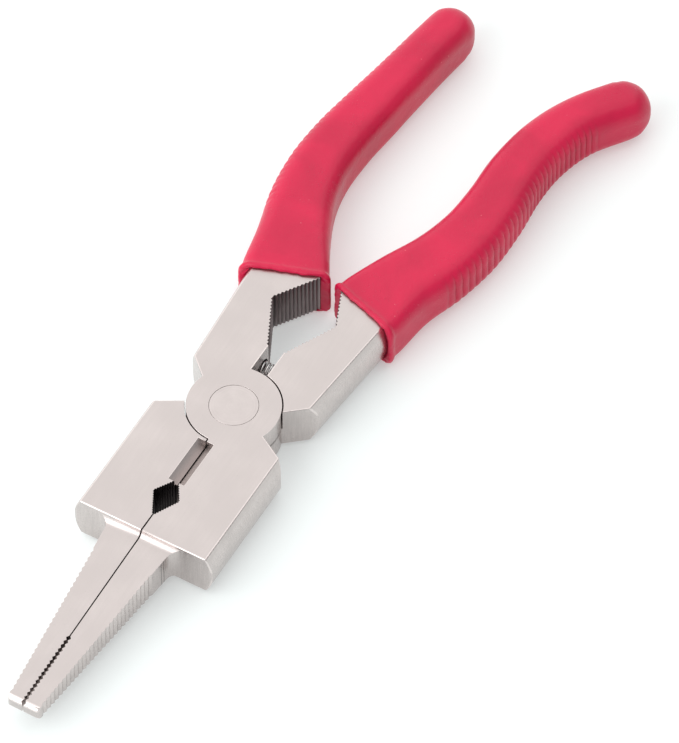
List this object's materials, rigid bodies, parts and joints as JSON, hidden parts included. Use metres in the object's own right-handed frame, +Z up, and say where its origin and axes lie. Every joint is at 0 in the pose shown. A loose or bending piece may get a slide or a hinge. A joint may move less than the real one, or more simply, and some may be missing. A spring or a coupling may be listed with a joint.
{
  "type": "multi-function welding pliers",
  "caption": "Forged steel welding pliers with a long serrated nose, wire cutter, toothed tip and nozzle jaws, return spring and dipped red grips.",
  "frame": {"origin": "on the pivot axis, in the plane of the steel's underside", "axes": "+Y from the nose to the handles, +Z up out of the flat side that lies uppermost, +X to the right handle"},
  "size_m": [0.0629, 0.2123, 0.0135],
  "materials": {
    "steel": "satin nickel-plated forging",
    "rivet_steel": "ground flush with the joint",
    "spring_steel": "bright spring wire",
    "grip_red": "soft dipped vinyl, semi-gloss"
  },
  "bodies": {
    "lower_half": {"lower_lever": "steel", "right_grip": "grip_red", "pivot_rivet": "rivet_steel", "return_spring": "spring_steel"},
    "upper_half": {"upper_lever": "steel", "left_grip": "grip_red"}
  },
  "joints": [
    {"name": "jaw_hinge", "type": "hinge", "parent": "lower_half", "child": "upper_half", "pos_m": [0, 0, 0.00565], "axis": [0, 0, 1], "range_deg": [0, 32], "deforming": ["return_spring"]}
  ]
}
